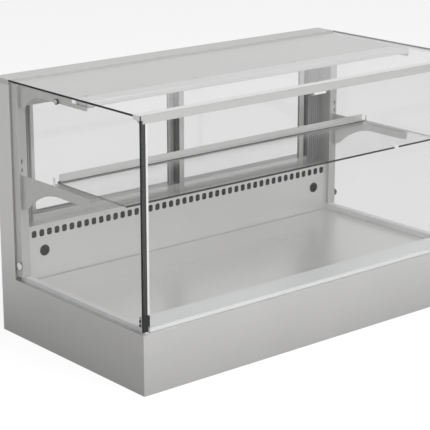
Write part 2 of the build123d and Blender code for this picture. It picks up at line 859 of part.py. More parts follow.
def shelf_brackets():
    """Cut-out brackets under the shelf, with a curved lower edge and a rounded tip."""
    root = upright_front - seat_gap
    top = bracket_top
    under = top - bracket_edge
    foot = top - bracket_root
    tip = bracket_tip + bracket_nose
    heel = (root - bracket_heel, foot + bracket_heel_rise)
    middle = (root - bracket_curve_middle, under - bracket_curve_drop)
    curve_end = (root - bracket_curve, under)
    edge = Polyline((root, foot), heel)
    edge += ThreePointArc(heel, middle, curve_end)
    edge += Polyline(curve_end, (tip, under), (tip, top), (root, top), (root, foot))
    outline = make_face(edge)
    outline = fillet(outline.vertices().sort_by_distance((tip, under))[0], bracket_nose_round)
    low = bracket_plane - bracket_sheet / 2
    flange = block((low - bracket_flange, low), (bracket_tip, shelf_rear + 8), (top - bracket_sheet, top))
    flange += block((low, low + bracket_sheet), (bracket_tip, tip), (top - bracket_sheet, top))
    return pair(bracket(outline, (shelf_slot - slots_under_shelf, shelf_slot), flange))


def top_brackets():
    """Brackets under the canopy, stepped down in front where the light profile lies on them."""
    root = upright_front - seat_gap
    top = canopy_underside - seat_gap
    step_top = light_low - seat_gap
    under = step_top - arm_depth
    tip = canopy_front - light_depth + arm_tip
    step = canopy_front + canopy_lap + pass_gap
    shares = ((0, 1), (0.295, 0.88), (0.453, 0.58), (0.695, 0.26), (0.895, 0.04), (1, 0))
    curve = [(root - gusset_length * back, under - gusset_depth * drop) for back, drop in shares]
    outline = section(curve + [(tip, under), (tip, step_top), (step, step_top), (step, top), (root, top)],
                      [(curve[1], gusset_round), (curve[4], arm_round), ((tip, under), arm_round)])
    low = bracket_plane - bracket_sheet / 2
    flange = block((low - bracket_flange, low), (step, root - 20), (top - bracket_sheet, top))
    flange += block((low - bracket_flange, low), (tip, canopy_front), (step_top - bracket_sheet, step_top))
    hole = disc_x(*knob_place, knob_shank + pass_gap / 2, low - 1, low + bracket_sheet + 1, pipe_sides)
    return pair(bracket(outline, (slot_count - 1,), flange) - hole)


def bracket_knobs():
    """Knurled screws through the top brackets: a round head outside and a cap inside."""
    low = bracket_plane - bracket_sheet / 2
    high = low + bracket_sheet
    head = disc_x(*knob_place, knob_radius, high, high + knob_head, turned_sides)
    shank = disc_x(*knob_place, knob_shank, low, high, pipe_sides)
    cap = disc_x(*knob_place, knob_radius - 1, low - knob_head, low, turned_sides)
    return pair(head + shank + cap)


def shelf_pads():
    """Rubber strips on the bracket flanges, under the shelf."""
    top = bracket_top
    low = bracket_plane - bracket_sheet / 2 - bracket_flange
    return pair(block((low + 2, low + 12), (bracket_tip + 1, shelf_rear - 15), (top, top + pad_thickness)))


def shelf_pins():
    """Upright pins on the bracket flanges, beside the shelf's rear corners."""
    place = (half_width - retainer_from_side, shelf_rear)
    return pair(disc_z(*place, retainer_radius, bracket_top, bracket_top + retainer_height, turned_sides))


def shelf_glass():
    pane_block = block((-shelf_half, shelf_half), (shelf_front, shelf_rear), (shelf_top - pane, shelf_top))
    return fillet(pane_block.edges().filter_by(Axis.Z), 4.0)


def shelf_rail():
    """Rail along the shelf's rear edge: a clip round the glass with an upstand."""
    half = shelf_half - shelf_rail_inset
    sheet = shelf_rail_sheet
    under = shelf_top - pane - seat_gap
    over = shelf_top + seat_gap
    back = shelf_rear + seat_gap
    grip = shelf_rear - 10
    top = shelf_top + shelf_rail_height
    profile = section([(grip, under), (back, under), (back, over), (grip, over), (grip, over + sheet),
                       (back, over + sheet), (back, top), (back + sheet, top), (back + sheet, under - sheet),
                       (grip, under - sheet)])
    return along_x(profile, -half, half)


# Canopy and light

def canopy():
    """Flat sheet under the top glass, on the lap of the light profile in front."""
    return block((-canopy_half, canopy_half), (canopy_front, column_front - seat_gap),
                 (canopy_underside, canopy_top))


def light_profile():
    """Flat aluminium profile with a channel for the light below and a lap under the canopy."""
    front = canopy_front - light_depth
    rear = canopy_front - seat_gap
    low = canopy_top - light_height
    lap_top = canopy_underside - seat_gap
    profile = section([(front, low), (front + 8, low), (front + 8, low + 5), (rear - 8, low + 5), (rear - 8, low),
                       (rear, low), (rear, lap_top - 2.5), (rear + canopy_lap, lap_top - 2.5),
                       (rear + canopy_lap, lap_top), (rear, lap_top), (rear, canopy_top), (front, canopy_top)],
                      [((front, canopy_top), 3.0), ((front, low), 3.0)])
    return along_x(profile, -canopy_half, canopy_half)


def light_diffuser():
    front = canopy_front - light_depth + 8 + seat_gap
    rear = canopy_front - seat_gap - 8 - seat_gap
    low = canopy_top - light_height
    return block((-canopy_half + 5, canopy_half - 5), (front, rear), (low, low + 5 - seat_gap))


# Glass box

def side_glass():
    """Side panes, notched above for the front rail and bored for the fixing."""
    inner = half_width - pane
    glass = block((inner, half_width), (side_glass_front, column_front - seat_gap),
                  (base_height + seat_gap, glass_underside - seat_gap))
    notch = block((inner - 1, half_width + 1), (0, rail_rear + pass_gap), (height - rail_upper - seat_gap, height))
    hole = disc_x(*fixing_place, fixing_shank + pass_gap / 2, inner - 1, half_width, turned_sides)
    sink = disc_x(*fixing_place, fixing_radius + seat_gap, half_width - fixing_depth - seat_gap,
                  half_width + 1, fan_sides)
    return pair(glass - notch - hole - sink)


def glass_fixings():
    """Flush round studs that hold the side panes to the uprights."""
    cap = disc_x(*fixing_place, fixing_radius, half_width - fixing_depth, half_width, fan_sides)
    shank = disc_x(*fixing_place, fixing_shank, upright_outer - upright_wall - 3,
                   half_width - fixing_depth, turned_sides)
    return pair(cap + shank)


def top_glass():
    return block((-half_width, half_width), (rail_rear + pass_gap, column_front - seat_gap),
                 (glass_underside, height))


def front_glass():
    """Front pane with its lower corners cut away for the hinge blocks."""
    notch_side = half_width - hinge_notch_side
    notch_top = base_height + hinge_notch_height
    glass = block((-half_width, half_width), (0, pane), (base_height + glass_above_base, height))
    return glass - both(block((notch_side, half_width + 1), (-1, pane + 1), (0, notch_top)))


def front_rail():
    """Rail behind the top of the front glass, wide above and set in between the side panes below."""
    top = height
    step = height - rail_upper
    low = height - rail_height
    inner = half_width - seal_width - pass_gap
    upper = along_x(section([(rail_front, step), (rail_rear, step), (rail_rear, top), (rail_front, top)],
                            [((rail_rear, step), 2.0)]), -half_width, half_width)
    lower = section([(rail_front, low), (rail_rear - rail_round, low), (rail_rear - rail_round / 2, step),
                     (rail_front, step)], [((rail_rear - rail_round, low), rail_round)])
    return upper + along_x(lower, -inner, inner)


def rail_catch():
    """Catch under the middle of the rail that keeps the front glass shut."""
    top = height - rail_height
    low = top - catch_height
    front = rail_front + 1.5
    profile = section([(front, top), (front, low + 3), (front + 4, low), (front + 15, low), (front + 22, low + 6),
                       (front + 22, top)])
    return along_x(profile, -catch_width / 2, catch_width / 2)


def corner_seals():
    """Black seals between the front glass and the front edges of the side panes."""
    outer = half_width
    face = outer - seal_width
    leg = outer - pane - seat_gap
    back = side_glass_front
    profile = section([(face, rail_front), (outer, rail_front), (outer, back - seat_gap),
                       (leg, back - seat_gap), (leg, back + 5), (leg - 2, back + 5), (leg - 2, back - seat_gap),
                       (face, back - seat_gap)])
    low = base_height + hinge_notch_height + seat_gap
    return pair(along_z(profile, low, height - rail_upper - seat_gap))


def hinge_blocks():
    """Black blocks that carry the front glass, each with the pin it turns on."""
    outer = half_width
    notch = half_width - hinge_notch_side + seat_gap
    lower = hinge_plate_outer + pass_gap
    top = base_height + hinge_notch_height - seat_gap
    step = pivot_height + hinge_step
    radius = pivot_from_front
    body = block((lower, outer), (0, hinge_block_depth), (pivot_height, top))
    body += disc_x(pivot_from_front, pivot_height, radius, lower, outer)
    body += block((notch, outer), (0, hinge_block_depth), (step, top))
    body += disc_x(pivot_from_front, pivot_height, pivot_pin_radius, notch, lower)
    return pair(body)


def hinge_brackets():
    """Plates on the ledge with an eye for the pin in front and a boss for their screws behind."""
    high = hinge_plate_outer
    low = high - hinge_plate
    arm_top = pivot_height + hinge_step - 1
    nose = pass_gap + hinge_play
    foot = ledge_inset + hinge_play
    neck = ledge_inset + hinge_neck
    back = ledge_inset + hinge_back
    plate_top = ledge_top + hinge_rise
    lobe = Pos(pivot_from_front, pivot_height) * RegularPolygon(hinge_lobe, fan_sides)
    lobe -= section([(-hinge_lobe, 0), (pass_gap, 0), (pass_gap, height), (-hinge_lobe, height)])
    arm = section([(nose, pivot_height), (foot, pivot_height), (foot, ledge_top), (back, ledge_top),
                   (back, plate_top), (neck, plate_top), (neck, arm_top), (nose, arm_top)],
                  [((back, plate_top), hinge_neck)])
    plate = along_x(lobe + arm, low, high)
    boss = block((low - hinge_boss_half, low),
                 (hinge_boss_from_front - hinge_boss_half, hinge_boss_from_front + hinge_boss_half),
                 (ledge_top, ledge_top + hinge_boss_height))
    plate += boss
    plate -= disc_x(pivot_from_front, pivot_height, pivot_pin_radius + pin_play, low - 1, high + 1)
    return pair(plate)


# Doors, jambs and tracks

def door_jambs():
    """Ribbed profiles beside the doors, from the sill up to the header."""
    inner = jamb_inner
    outer = column_inner - pass_gap
    front = depth - panel_inset + body_sheet - jamb_depth
    rear = front + jamb_depth - body_sheet
    ribs = 5
    pitch = (outer - inner) / (2 * ribs + 1)
    points = [(inner, rear), (inner, front)]
    for number in range(ribs):
        x = inner + (2 * number + 1) * pitch
        points += [(x, front), (x, front + 3), (x + pitch, front + 3), (x + pitch, front)]
    points += [(outer, front), (outer, rear)]
    return pair(along_z(section(points), sill_top, header_bottom - seat_gap))


def lane_fins():
    """Places across the case of the three fins of a track."""
    reach = (track_width - track_fin) / 2
    return [track_centre - reach, track_centre, track_centre + reach]


def bottom_track():
    """E-shaped profile on the sill, open upwards, for the doors' shoes."""
    half = jamb_inner - seat_gap
    low = track_centre - track_width / 2
    body = block((-half, half), (low, low + track_width), (sill_top, sill_top + track_fin))
    for y in lane_fins():
        body += block((-half, half), (y - track_fin / 2, y + track_fin / 2), (sill_top, sill_top + track_height))
    return body


def top_track():
    """E-shaped profile in the header, open downwards, with a rib up to the header's top."""
    half = column_inner - pass_gap
    low = track_centre - track_width / 2
    top = top_track_base
    body = block((-half, half), (low, low + track_width), (top - track_fin, top))
    for y in lane_fins():
        body += block((-half, half), (y - track_fin / 2, y + track_fin / 2), (top - top_track_height, top))
    rib = block((-half, half), (track_centre - 6, track_centre + 6), (top, header_top - body_sheet - seat_gap))
    return body + rib


def door_glass(left, right, lane):
    inset = door_seal + stile_width / 2 + seat_gap
    return block((left + inset, right - inset), (lane - door_pane / 2, lane + door_pane / 2),
                 (door_bottom, door_head))


def door_frame(left, right, lane):
    """Two grooved stiles and the four shoes that run in the tracks."""
    reach = door_thickness / 2
    groove = door_pane / 2 + seat_gap
    a = door_seal
    b = door_seal + stile_width
    middle = b - stile_width / 2
    profile = section([(a, -reach), (b, -reach), (b, -groove), (middle, -groove), (middle, groove), (b, groove),
                       (b, reach), (b - 5, reach), (b - 7, reach - 2), (b - 13, reach - 2), (b - 15, reach),
                       (a, reach)])
    stile = along_z(profile, door_bottom, door_head)
    runner = (track_width - 3 * track_fin) / 4 - seat_gap
    shoe = block((a, a + shoe_length), (-runner, runner), (sill_top + track_fin + seat_gap, door_bottom))
    guide = block((a, a + shoe_length), (-runner, runner), (door_head, top_track_base - track_fin - seat_gap))
    pieces = []
    for piece in (stile, shoe, guide):
        pieces.append(Pos(left, lane, 0) * piece)
        pieces.append(Pos(right, lane, 0) * mirror(piece, about=Plane.YZ))
    return pieces


def door_seals(left, right, lane):
    """Black brush seals on both upright edges."""
    reach = door_thickness / 2 - 1.5
    seal = block((0, door_seal), (-reach, reach), (door_bottom + 2, door_head - 2))
    return [Pos(left, lane, 0) * seal, Pos(right - door_seal, lane, 0) * seal]


def doors():
    """Span and lane of both doors when shut: the left one runs behind the right one."""
    end = jamb_inner - seat_gap
    return {"door_left": (-end, door_left_reach, track_centre + lane_offset),
            "door_right": (-door_right_reach, end, track_centre - lane_offset)}


os.makedirs("parts", exist_ok=True)

save("apron", apron())
save("floor_pan", floor_pan())
save("feet", *feet())
save("insulation", insulation())
save("tub", *tub())
save("deck", deck())
save("deck_rails", *deck_rails())
save("duct_cover", duct_cover())
save("cover_grommets", *cover_grommets())
save("cover_rail", cover_rail())
save("sill", sill())
save("fan_shroud", fan_shroud())
save("fan_frames", *fan_frames())
save("fan_rotor_left", fan_rotor(-fan_offset))
save("fan_rotor_right", fan_rotor(fan_offset))
save("evaporator", evaporator())
return_bends, refrigerant_pipes = copper_pipes()
save("copper_pipes", *return_bends, *refrigerant_pipes)
save("drain", drain())
save("columns", *columns())
save("header", header())
save("top_cap", top_cap())
save("rear_panel", rear_panel())
save("controller", controller())
save("controller_window", window_space(seat_gap / 3))
save("switch_frames", *switch_frames())
save("rocker_left", rocker(switch_places[0]))
save("rocker_right", rocker(switch_places[1]))
save("cord_bush", cord_bush())
save("uprights", *uprights())
save("shelf_brackets", *shelf_brackets())
save("top_brackets", *top_brackets())
save("bracket_knobs", *bracket_knobs())
save("shelf_pads", *shelf_pads())
save("shelf_pins", *shelf_pins())
save("shelf_glass", shelf_glass())
save("shelf_rail", shelf_rail())
save("canopy", canopy())
save("light_profile", light_profile())
save("light_diffuser", light_diffuser())
save("side_glass", *side_glass())
save("glass_fixings", *glass_fixings())
save("top_glass", top_glass())
save("front_glass", front_glass())
save("front_rail", front_rail())
save("rail_catch", rail_catch())
save("corner_seals", *corner_seals())
save("hinge_blocks", *hinge_blocks())
save("hinge_brackets", *hinge_brackets())
save("door_jambs", *door_jambs())
save("bottom_track", bottom_track())
save("top_track", top_track())
for name, (left, right, lane) in doors().items():
    save(name + "_glass", door_glass(left, right, lane))
    save(name + "_frame", *door_frame(left, right, lane))
    save(name + "_seals", *door_seals(left, right, lane))
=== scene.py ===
import bpy
import bmesh
import math
from mathutils import Matrix, Vector


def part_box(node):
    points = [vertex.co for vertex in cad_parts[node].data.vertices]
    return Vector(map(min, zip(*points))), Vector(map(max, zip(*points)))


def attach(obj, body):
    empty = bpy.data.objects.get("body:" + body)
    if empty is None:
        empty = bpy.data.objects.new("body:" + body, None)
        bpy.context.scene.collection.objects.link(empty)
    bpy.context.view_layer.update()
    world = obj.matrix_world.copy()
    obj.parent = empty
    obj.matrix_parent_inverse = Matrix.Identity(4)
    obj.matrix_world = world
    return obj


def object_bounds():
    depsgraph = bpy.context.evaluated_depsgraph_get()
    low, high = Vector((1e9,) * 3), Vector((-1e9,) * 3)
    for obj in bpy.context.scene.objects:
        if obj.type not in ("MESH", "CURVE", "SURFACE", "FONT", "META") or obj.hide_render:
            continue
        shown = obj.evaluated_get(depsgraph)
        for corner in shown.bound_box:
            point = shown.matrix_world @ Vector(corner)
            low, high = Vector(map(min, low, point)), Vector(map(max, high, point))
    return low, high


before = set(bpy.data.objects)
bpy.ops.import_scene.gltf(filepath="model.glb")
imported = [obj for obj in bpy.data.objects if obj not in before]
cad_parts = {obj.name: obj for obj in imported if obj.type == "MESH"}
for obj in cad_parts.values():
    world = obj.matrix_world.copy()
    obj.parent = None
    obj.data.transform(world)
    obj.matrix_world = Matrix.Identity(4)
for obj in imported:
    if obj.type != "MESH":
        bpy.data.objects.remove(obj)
case_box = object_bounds()


# Floor pan: a flat galvanised sheet that closes the base from below and carries everything else. It is cut
# from zinc-coated strip, whose crystals show as large pale flakes, and riveted to the apron's return.
def finish(name, colour, roughness, metallic=0.0):
    """A new finish with its shader's plain values set; gives the finish, its node tree and its shader."""
    made = bpy.data.materials.new(name)
    made.use_nodes = True
    shader = made.node_tree.nodes["Principled BSDF"]
    shader.inputs["Base Color"].default_value = (*colour, 1.0)
    shader.inputs["Roughness"].default_value = roughness
    shader.inputs["Metallic"].default_value = metallic
    return made, made.node_tree, shader


def place_on(tree, stretch=(1, 1, 1)):
    """The piece's own coordinates, stretched by a factor on each axis."""
    stretched = tree.nodes.new("ShaderNodeMapping")
    stretched.inputs["Scale"].default_value = stretch
    tree.links.new(tree.nodes.new("ShaderNodeTexCoord").outputs["Object"], stretched.inputs["Vector"])
    return stretched.outputs["Vector"]


def between(tree, source, low, high):
    """A pattern's value from nought to one, spread between two levels."""
    spread = tree.nodes.new("ShaderNodeMapRange")
    spread.inputs["To Min"].default_value = low
    spread.inputs["To Max"].default_value = high
    tree.links.new(source, spread.inputs["Value"])
    return spread.outputs["Result"]


def two_tone(tree, source, dark, light):
    """A pattern's value as a colour between two tones."""
    ramp = tree.nodes.new("ShaderNodeValToRGB")
    ramp.color_ramp.elements[0].color = (*dark, 1.0)
    ramp.color_ramp.elements[1].color = (*light, 1.0)
    tree.links.new(source, ramp.inputs["Fac"])
    return ramp.outputs["Color"]


def crystals(tree, scale):
    """Pattern of crystals or cells, with that many to a metre."""
    cells = tree.nodes.new("ShaderNodeTexVoronoi")
    cells.inputs["Scale"].default_value = scale
    tree.links.new(place_on(tree), cells.inputs["Vector"])
    return cells.outputs


def give(material, *names):
    """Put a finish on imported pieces."""
    for name in names:
        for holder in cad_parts[name].material_slots:
            holder.material = material


zinc, tree, shader = finish("zinc_sheet", (0.50, 0.51, 0.52), 0.45, 0.8)
flakes = tree.nodes.new("ShaderNodeSeparateColor")
tree.links.new(crystals(tree, 90.0)["Color"], flakes.inputs["Color"])
flake_tone = two_tone(tree, flakes.outputs["Red"], (0.44, 0.45, 0.46), (0.56, 0.57, 0.58))
tree.links.new(flake_tone, shader.inputs["Base Color"])
tree.links.new(between(tree, flakes.outputs["Green"], 0.38, 0.52), shader.inputs["Roughness"])
give(zinc, "floor_pan")


# Feet: six round rubber pads under the floor pan, moulded in black nitrile with a matt skin.
# Each one is held by a screw from inside the base.
def grain(tree, scale, detail=3.0, vector=None):
    """Fine uneven pattern with that many blots to a metre."""
    noise = tree.nodes.new("ShaderNodeTexNoise")
    noise.inputs["Scale"].default_value = scale
    noise.inputs["Detail"].default_value = detail
    tree.links.new(vector or place_on(tree), noise.inputs["Vector"])
    return noise.outputs["Fac"]


def tint(tree, shader, pattern, dark, light, gloss=None):
    """Let a pattern lead a finish between two tones, and its roughness between two values where given."""
    tree.links.new(two_tone(tree, pattern, dark, light), shader.inputs["Base Color"])
    if gloss:
        tree.links.new(between(tree, pattern, *gloss), shader.inputs["Roughness"])


def relief(tree, shader, source, depth):
    """Raise and lower the surface by a pattern, to a depth in metres."""
    bump = tree.nodes.new("ShaderNodeBump")
    bump.inputs["Strength"].default_value = 1.0
    bump.inputs["Distance"].default_value = depth
    tree.links.new(source, bump.inputs["Height"])
    tree.links.new(bump.outputs["Normal"], shader.inputs["Normal"])


rubber, tree, shader = finish("black_rubber", (0.011, 0.011, 0.012), 0.62)
shader.inputs["Specular IOR Level"].default_value = 0.25
skin = grain(tree, 900.0)
tint(tree, shader, skin, (0.007, 0.007, 0.008), (0.015, 0.015, 0.016), (0.52, 0.72))
relief(tree, shader, skin, 0.00015)
give(rubber, "feet")


# Insulation: rigid polyurethane foam, poured between the base's sheets and the tub.
# It is pale yellow with fine closed cells, and only its cut faces show from below and behind.
foam, tree, shader = finish("cut_foam", (0.85, 0.78, 0.55), 0.9)
cell_walls = crystals(tree, 600.0)["Distance"]
tint(tree, shader, cell_walls, (0.72, 0.64, 0.42), (0.90, 0.84, 0.62))
relief(tree, shader, cell_walls, 0.0006)
give(foam, "insulation")


# Base apron: stainless sheet, 1.5 mm thick, folded round the front and both sides with a strip turned in at
# the top. The maker brushes it lengthwise before folding, which leaves hair-fine level lines.
lies_level = 0.7
along_brushing = 6
line_weight = 0.7
wipe_weight = 0.3


def maths(tree, operation, first, second=0.0, third=None, clamp=False):
    """One step of arithmetic in a finish, on patterns or plain numbers."""
    step = tree.nodes.new("ShaderNodeMath")
    step.operation = operation
    step.use_clamp = clamp
    for place, value in enumerate((first, second, third)):
        if isinstance(value, (int, float)):
            step.inputs[place].default_value = value
        elif value is not None:
            tree.links.new(value, step.inputs[place])
    return step.outputs["Value"]


def parts_of(tree, what):
    """The X, Y and Z parts of a point's place, "Object", or facing, "Normal", in the piece's own axes."""
    split = tree.nodes.new("ShaderNodeSeparateXYZ")
    tree.links.new(tree.nodes.new("ShaderNodeTexCoord").outputs[what], split.inputs["Vector"])
    return split.outputs


def faces_along(tree, axis, least):
    """One where the surface faces at least that much along an axis, nought elsewhere."""
    return maths(tree, "GREATER_THAN", maths(tree, "ABSOLUTE", parts_of(tree, "Normal")[axis]), least)


def steel_sheet(name, tones, gloss, metal, line_scale=800.0, line_depth=0.000004):
    """Brushed stainless steel: lines run level on upright faces and from side to side on level ones."""
    material, tree, shader = finish(name, tones[1], gloss[0], metal)
    chosen = tree.nodes.new("ShaderNodeMix")
    chosen.data_type = "VECTOR"
    tree.links.new(faces_along(tree, "Z", lies_level), chosen.inputs["Factor"])
    tree.links.new(place_on(tree, (along_brushing, along_brushing, line_scale)), chosen.inputs["A"])
    tree.links.new(place_on(tree, (along_brushing, line_scale, along_brushing)), chosen.inputs["B"])
    lines = grain(tree, 1.0, 4.0, chosen.outputs["Result"])
    wipes = maths(tree, "MULTIPLY", grain(tree, 5.0, 2.0), wipe_weight)
    tint(tree, shader, maths(tree, "MULTIPLY_ADD", lines, line_weight, wipes), *tones, gloss)
    relief(tree, shader, lines, line_depth)
    return material


brushed_steel = steel_sheet("brushed_stainless", tones=((0.46, 0.457, 0.45), (0.56, 0.556, 0.548)),
                            gloss=(0.30, 0.42), metal=0.5)
give(brushed_steel, "apron")


# Tub: stainless tray welded from folded sheets, with the raised ledge round the well on three sides. Its
# satin face is finer than the base's, and its tone is painted lighter as painted light. In the air duct
# behind the cover it is painted near black as painted shade.
def mixed(tree, share, first, second):
    """Two shaders in one, with a share of the second from nought to one."""
    mixer = tree.nodes.new("ShaderNodeMixShader")
    tree.links.new(share, mixer.inputs["Fac"])
    tree.links.new(first, mixer.inputs[1])
    tree.links.new(second, mixer.inputs[2])
    return mixer.outputs["Shader"]


satin_steel = steel_sheet("satin_stainless", tones=((0.54, 0.538, 0.534), (0.64, 0.638, 0.634)),
                          gloss=(0.28, 0.40), metal=0.5, line_scale=1100.0, line_depth=0.000002)
# The tub's steel is a lighter copy of the satin steel: its tone is painted lighter as painted light.
tub_steel_painted_light_and_shade = steel_sheet("tub_stainless_painted_light_and_shade", tones=((0.70, 0.706, 0.71), (0.80, 0.806, 0.81)),
                          gloss=(0.36, 0.46), metal=0.25, line_scale=1100.0, line_depth=0.000002)
tree = tub_steel_painted_light_and_shade.node_tree
# Behind the duct cover the tub is painted near black: painted shade in the duct, where little light gets in.
duct_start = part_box("duct_cover")[1].y
in_duct_painted_shade = maths(tree, "GREATER_THAN", parts_of(tree, "Object")["Y"], duct_start)
painted_duct_shade = tree.nodes.new("ShaderNodeBsdfDiffuse")
painted_shade_tone = two_tone(tree, grain(tree, 400.0), (0.02, 0.02, 0.02), (0.04, 0.04, 0.04))
tree.links.new(painted_shade_tone, painted_duct_shade.inputs["Color"])
with_painted_shade = mixed(tree, in_duct_painted_shade, tree.nodes["Principled BSDF"].outputs["BSDF"], painted_duct_shade.outputs["BSDF"])
tree.links.new(with_painted_shade, tree.nodes["Material Output"].inputs["Surface"])
give(tub_steel_painted_light_and_shade, "tub")
give(satin_steel, "deck_rails", "cover_rail")


# Drain: a turned plastic outlet in the tub's floor, white, whose tail takes the hose below the pan.
# It is clamped from below with a rubber ring.
white_plastic, tree, shader = finish("white_plastic", (0.82, 0.82, 0.81), 0.38)
tint(tree, shader, grain(tree, 60.0), (0.78, 0.78, 0.77), (0.85, 0.85, 0.84), (0.32, 0.44))
give(white_plastic, "drain")


# Evaporator: an aluminium coil block behind the duct cover, with thin pressed fins between two end plates.
# The whole block is painted near black as painted shade behind the slots, and water has dried on it in dull
# streaks.
# Near-black coat: painted shade for the coil seen through the slots.
fins_in_painted_shade, tree, shader = finish("fins_painted_shade", (0.030, 0.032, 0.034), 0.5)
streaks = grain(tree, 1.0, vector=place_on(tree, (160, 160, 14)))
tint(tree, shader, streaks, (0.022, 0.023, 0.025), (0.050, 0.052, 0.054), (0.4, 0.65))
give(fins_in_painted_shade, "evaporator")


# Refrigerant pipes: soft copper tube, bent by hand and brazed to the coil, going down through the foam.
# The copper has gone dull brown in the damp and is painted darker still as painted shade behind the slots,
# darker in patches where the flame touched it.
# The copper's tone is darkened as painted shade where it shows behind the slots.
copper_darkened_as_shade, tree, shader = finish("copper_painted_shade", (0.24, 0.13, 0.085), 0.5, 0.8)
tint(tree, shader, grain(tree, 45.0), (0.13, 0.07, 0.045), (0.34, 0.19, 0.12), (0.42, 0.65))
give(copper_darkened_as_shade, "copper_pipes")


# Fans: two small axial fans on a sheet shroud, each a moulded frame with a five-bladed rotor on its pin.
# Frames and rotors are black plastic with a fine spark-eroded grain, and the shroud is the tub's steel.
black_plastic, tree, shader = finish("black_plastic", (0.018, 0.018, 0.019), 0.42)
shader.inputs["Specular IOR Level"].default_value = 0.25
sparked = grain(tree, 1400.0)
tint(tree, shader, sparked, (0.012, 0.012, 0.013), (0.024, 0.024, 0.025), (0.36, 0.5))
relief(tree, shader, sparked, 0.00005)
give(black_plastic, "fan_frames", "fan_rotor_left", "fan_rotor_right")
give(satin_steel, "fan_shroud")


# Deck: a lift-out sheet tray with turned-down edges on which the food stands, slotted in front for the air
# that goes back to the fans. It is plain rolled stainless with a slightly cloudy shine.
deck_steel = steel_sheet("rolled_stainless", tones=((0.66, 0.653, 0.642), (0.74, 0.733, 0.722)),
                         gloss=(0.24, 0.34), metal=0.5, line_scale=500.0, line_depth=0.000002)
give(deck_steel, "deck")


# Duct cover: an upright stainless panel with a row of punched air slots, which lifts off its hooks.
# Two black rubber rings line the finger holes, and a folded sill closes the duct above it.
give(satin_steel, "duct_cover", "sill")
give(rubber, "cover_grommets")


# Columns, header and cap: box columns and a folded channel of the same brushed stainless as the base.
# The cap is a shallow pressed lid over all three, blasted dull and painted darker as painted shade, and the
# header hides the doors' top track.
# A darker copy of the brushed steel: its tone is painted darker as painted shade, for the cap and the
# canopy.
steel_painted_darker = steel_sheet("stainless_painted_shade", tones=((0.37, 0.368, 0.363), (0.45, 0.448, 0.442)),
                         gloss=(0.42, 0.52), metal=0.4)
give(brushed_steel, "columns", "header")
give(steel_painted_darker, "top_cap")


# Rear panel: a flat stainless sheet behind the foam, cut out for the controls.
# Six button-head screws with hexagon sockets hold it, so that the service engineer can take it off.
panel_screw_sides = (-0.637, 0.637)
panel_screw_heights = (0.040, 0.190, 0.330)
panel_screw_radius = 0.0042
panel_screw_rise = 0.0024
turned_sides = 24
socket_share = 0.42
socket_floor = 0.35
crease_angle = 40


def round_ring(shaper, radius, height):
    """Ring of points round the upright axis, at a height."""
    ring = []
    for number in range(turned_sides):
        angle = 2 * math.pi * number / turned_sides
        ring.append(shaper.verts.new((radius * math.cos(angle), radius * math.sin(angle), height)))
    return ring


def hexagon_ring(shaper, radius, height):
    """Like ring, drawn in at each point to a hexagon whose corners lie at the radius."""
    ring = []
    for number in range(turned_sides):
        angle = 2 * math.pi * number / turned_sides
        within = (angle + math.pi / 6) % (math.pi / 3) - math.pi / 6
        reach = radius * math.cos(math.pi / 6) / math.cos(within)
        ring.append(shaper.verts.new((reach * math.cos(angle), reach * math.sin(angle), height)))
    return ring


def join_rings(shaper, rings):
    """Skin from ring to ring, closed at both ends and facing outward."""
    for lower, upper in zip(rings, rings[1:]):
        for number in range(len(lower)):
            after = (number + 1) % len(lower)
            shaper.faces.new((lower[number], lower[after], upper[after], upper[number]))
    shaper.faces.new(list(reversed(rings[0])))
    shaper.faces.new(rings[-1])
    bmesh.ops.recalc_face_normals(shaper, faces=shaper.faces)


def piece_of(name, shaper, material):
    """The shaped mesh as a new object in its material."""
    mesh = bpy.data.meshes.new(name)
    shaper.to_mesh(mesh)
    shaper.free()
    mesh.materials.append(material)
    piece = bpy.data.objects.new(name, mesh)
    bpy.context.scene.collection.objects.link(piece)
    return piece


def button_screw(name, place, outward, radius, rise, material):
    """Domed screw head with a hexagon socket, its flat side on the sheet."""
    shaper = bmesh.new()
    dome = ((1.0, 0.0), (1.0, 0.25), (0.9, 0.62), (0.72, 0.9), (0.56, 1.0))
    rings = [round_ring(shaper, radius * share, rise * height) for share, height in dome]
    rings += [hexagon_ring(shaper, radius * socket_share, rise * height) for height in (1.0, socket_floor)]
    join_rings(shaper, rings)
    turn = Vector((0, 0, 1)).rotation_difference(Vector(outward)).to_matrix().to_4x4()
    shaper.transform(Matrix.Translation(place) @ turn)
    screw = piece_of(name, shaper, material)
    for face in screw.data.polygons:
        face.use_smooth = len(face.vertices) == 4
    screw.data.set_sharp_from_angle(angle=math.radians(crease_angle))
    return screw


bright_steel, tree, shader = finish("bright_steel", (0.66, 0.66, 0.65), 0.2, 0.9)
tint(tree, shader, grain(tree, 700.0), (0.60, 0.60, 0.59), (0.72, 0.72, 0.71), (0.14, 0.28))
give(brushed_steel, "rear_panel")
panel_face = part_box("rear_panel")[1].y
for across in panel_screw_sides:
    for height in panel_screw_heights:
        side_name = "left" if across < 0 else "right"
        screw = button_screw(f"panel_screw_{side_name}_{round(height * 1000)}", (across, panel_face, height),
                             (0, 1, 0), panel_screw_radius, panel_screw_rise, bright_steel)
        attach(screw, "case")


# Controls: a panel thermostat with a dark window, two rocker switches in their frames and a cable gland.
# All are bought-in black mouldings that snap or screw into the rear panel.
window_film, tree, shader = finish("smoked_window", (0.02, 0.02, 0.03), 0.08)
tint(tree, shader, grain(tree, 120.0), (0.014, 0.014, 0.020), (0.026, 0.026, 0.036), (0.05, 0.14))
give(black_plastic, "controller", "switch_frames", "rocker_left", "rocker_right", "cord_bush")
give(window_film, "controller_window")


# Uprights and brackets: slotted channels beside the columns, and cut-out brackets whose hooks drop into the
# slots. Both are 2 to 3 mm stainless, laser cut, with the same brushed face as the body.
give(brushed_steel, "uprights", "shelf_brackets", "top_brackets")


# Bracket knobs, shelf pads and pins: black screws with round heads through the top brackets, each with a
# white cap pressed on. Grey rubber strips bed the shelf, and two bright pins stand at its rear corners.
knob_cap_share = 0.74
knob_cap_rise = 0.0012

